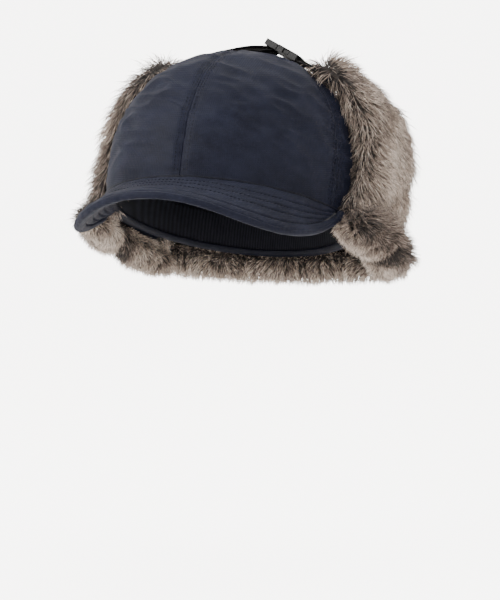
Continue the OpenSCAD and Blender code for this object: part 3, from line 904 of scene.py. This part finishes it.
def webbing(name, path, body, node):
    """Flat webbing along a line of (x, z) points, with rounded selvedges."""
    path = np.array(path)
    along = np.concatenate([[0], np.cumsum(np.linalg.norm(np.diff(path, axis=0), axis=1))])
    s = np.linspace(0, along[-1], 160)
    line = np.stack([np.interp(s, along, path[:, 0]), np.interp(s, along, path[:, 1])], -1)
    way = np.gradient(line, axis=0)
    way /= np.linalg.norm(way, axis=1, keepdims=True)
    up = np.stack([-way[:, 1], way[:, 0]], -1)
    half, thick = WEBBING_WIDTH / 2, WEBBING_THICKNESS / 2
    outline = []
    for a in np.radians(np.arange(0, 360, 15)):
        outline.append((half * math.copysign(abs(math.cos(a)) ** 0.25, math.cos(a)),
                        thick * math.copysign(abs(math.sin(a)) ** 0.6, math.sin(a))))
    points = np.array([[(p[0] + n[0] * h, STRAP_Y + w, p[1] + n[1] * h) for w, h in outline]
                       for p, n in zip(line, up)])
    rows, columns = points.shape[:2]
    quads = ring_quads(rows, columns)
    caps = np.stack([np.arange(columns)[::-1], (rows - 1) * columns + np.arange(columns)])
    piece = new_mesh(name, worn(points), [quads, caps], [BLACK])
    return place(piece, body, "webbing", node)


def straps():
    """The near strap, looped through the socket's bar, and the far one, laced round the plug's."""
    loop = [(35, -1.4), (29, -0.95), (22, -1.05), (18.6, -1.95), (15.2, -1.98), (14.25, -1.6),
            (14.05, -0.9), (14.05, 0.9), (14.25, 1.6), (15.2, 1.98), (18.6, 1.95), (22, 0.75),
            (29, 0.65), (35, 0.2)]
    webbing("webbing_left_loop", [from_mouth(*p) for p in loop], "strap_left", "webbing_left")
    lie = WEBBING_THICKNESS / 2 + STRAP_LIFT
    load = [(x, crown_top(x) + lie) for x in range(-58, 15, 4)]
    wrap = [(-6.2, -4.4), (-4.4, -3.9), (-3.75, -3.1), (-3.7, -2), (-3.7, 0.9), (-4.2, 1.75),
            (-5.6, 2.02), (-7, 1.75), (-7.45, 0.9), (-7.45, -2), (-8, -2.95), (-9.6, -3.35)]
    tail = [(x, crown_top(x) + lie + WEBBING_THICKNESS + 0.5 + max(0, x + 8) * 0.07)
            for x in range(12, -21, -4)]
    webbing("webbing_right_strap", load + [from_mouth(*p) for p in wrap] + tail,
            "strap_right", "webbing_right")


def rounded(node, body, width):
    """The node's own mesh with its edges rounded, as a moulding has them."""
    data = bpy.data.objects[node].data.copy()
    piece = bpy.data.objects.new(node + "_moulding", data)
    bpy.context.collection.objects.link(piece)
    data.materials.clear()
    data.materials.append(PLASTIC)
    bevel = piece.modifiers.new("rounding", "BEVEL")
    bevel.width = width
    bevel.segments = 3
    bevel.limit_method = "ANGLE"
    return place(piece, body, "buckle", node)


def buckle():
    """The five mouldings of the side-release buckle."""
    rounded("buckle_socket", "strap_left", 0.0005)
    rounded("buckle_plug", "plug", 0.0004)
    rounded("buckle_guide", "plug", 0.0003)
    rounded("buckle_arm_front", "arm_front", 0.0003)
    rounded("buckle_arm_back", "arm_back", 0.0003)


# ---- Making ----

for panel, (first, last) in PANELS.items():
    crown_panel(panel, first, last)
crown_stitching()
crown_wadding()
crown_inside()
crown_edge()
brim()
many = 1.0
for side, word in ((1, "left"), (-1, "right")):
    body = f"ear_flap_{word}"
    flap_core(f"ear_flap_{word}_padded", EAR, side, body,
              (f"ear_shell_{word}", f"ear_padding_{word}"))
    flap_fur(f"ear_fur_{word}", EAR, side, body, (f"ear_fur_{word}",), 2, int(EAR_PILE * many),
             (0.35, 0.75, -0.8), 100 + side)
    fold_fur(f"ear_fold_{word}", EAR, side, f"ear_fold_{word}", int(EAR_ROLL * many), 200 + side)
flap_core("neck_flap_padded", NECK, 1, "neck_flap", ("neck_shell", "neck_padding"))
flap_fur("neck_fur", NECK, 1, "neck_flap", ("neck_fur",), 3, int(NECK_PILE * many),
         (0.0, 0.3, -1.0), 300)
fold_fur("neck_fold", NECK, 1, "neck_fold", int(NECK_ROLL * many), 400)
straps()
buckle()
bpy.data.objects["brim_board"].data.materials.clear()
bpy.data.objects["brim_board"].data.materials.append(BOARD)

# ---- Camera, light and floor ----

AZIMUTH, ELEVATION = math.radians(21), math.radians(4)
DISTANCE = 2.0
FRAME_HEIGHT = 0.429
SENSOR_HEIGHT = 24
AIM_RIGHT, AIM_HEIGHT = 0.0130, -0.0582
FLOOR_RADIUS, SWEEP_RADIUS, FLOOR_DROP = 2.4, 1.2, 0.25
FLOOR_RINGS, FLOOR_COLUMNS = 44, 96


def camera():
    """A long lens from the front, a little to the hat's left and above it."""
    right = np.array([math.cos(AZIMUTH), math.sin(AZIMUTH), 0])
    toward = np.array([math.sin(AZIMUTH) * math.cos(ELEVATION),
                       -math.cos(AZIMUTH) * math.cos(ELEVATION), math.sin(ELEVATION)])
    aim = right * AIM_RIGHT + np.array([0, 0, AIM_HEIGHT])
    data = bpy.data.cameras.new("camera")
    data.sensor_fit = "VERTICAL"
    data.sensor_height = SENSOR_HEIGHT
    data.lens = SENSOR_HEIGHT * DISTANCE / FRAME_HEIGHT
    data.clip_end = 20
    view = bpy.data.objects.new("camera", data)
    view.location = aim + toward * DISTANCE
    view.rotation_euler = (math.pi / 2 - ELEVATION, 0, AZIMUTH)
    bpy.context.collection.objects.link(view)
    bpy.context.scene.camera = view


def light(name, place_at, size, power, colour=(1, 1, 1)):
    """A square lamp that faces the hat."""
    data = bpy.data.lights.new(name, "AREA")
    data.size = size
    data.energy = power
    data.color = colour
    lamp = bpy.data.objects.new(name, data)
    lamp.location = place_at
    way = np.array(place_at)
    lamp.rotation_euler = (math.acos(way[2] / np.linalg.norm(way)), 0,
                           math.atan2(way[0], -way[1]))
    bpy.context.collection.objects.link(lamp)


def backdrop():
    """A pale floor that sweeps up behind the hat, wide enough for every view."""
    sweep = np.linspace(0.1, math.pi / 2, 16)
    radius = np.concatenate([np.linspace(0.01, FLOOR_RADIUS, 24),
                             FLOOR_RADIUS + SWEEP_RADIUS * np.sin(sweep), np.full(4, 3.6)])
    height = np.concatenate([np.zeros(24), SWEEP_RADIUS - SWEEP_RADIUS * np.cos(sweep),
                             np.linspace(1.6, 5, 4)])
    a = np.linspace(0, 2 * math.pi, FLOOR_COLUMNS + 1)[:-1]
    level = np.broadcast_to(height[:, None] - FLOOR_DROP, (FLOOR_RINGS, FLOOR_COLUMNS))
    points = np.stack([radius[:, None] * np.cos(a), radius[:, None] * np.sin(a), level], -1)
    quads = ring_quads(FLOOR_RINGS, FLOOR_COLUMNS)
    material, tree, shader = new_material("backdrop_paper", (0.86, 0.845, 0.825), 0.9)
    shader.inputs["Emission Color"].default_value = (1.0, 0.985, 0.965, 1)
    path = tree.nodes.new("ShaderNodeLightPath")
    glow = tree.nodes.new("ShaderNodeMath")
    glow.operation = "MULTIPLY_ADD"
    glow.inputs[1].default_value = 5.5
    glow.inputs[2].default_value = 0.15
    tree.links.new(path.outputs["Is Camera Ray"], glow.inputs[0])
    tree.links.new(glow.outputs[0], shader.inputs["Emission Strength"])
    middle = np.arange(FLOOR_COLUMNS)[None, ::-1]
    floor = new_mesh("backdrop", points, [quads, middle], [material])


camera()
backdrop()
light("key", (-1.7, -1.5, 1.4), 1.2, 66, (1.0, 0.985, 0.96))
light("fill", (1.7, -1.2, 0.8), 1.2, 7, (0.97, 0.98, 1.0))
light("top", (0.1, 0.3, 2.2), 1.6, 28)
world = bpy.data.worlds.new("studio")
world.use_nodes = True
world.node_tree.nodes["Background"].inputs["Color"].default_value = (0.95, 0.945, 0.93, 1)
world.node_tree.nodes["Background"].inputs["Strength"].default_value = 0.62
bpy.context.scene.world = world
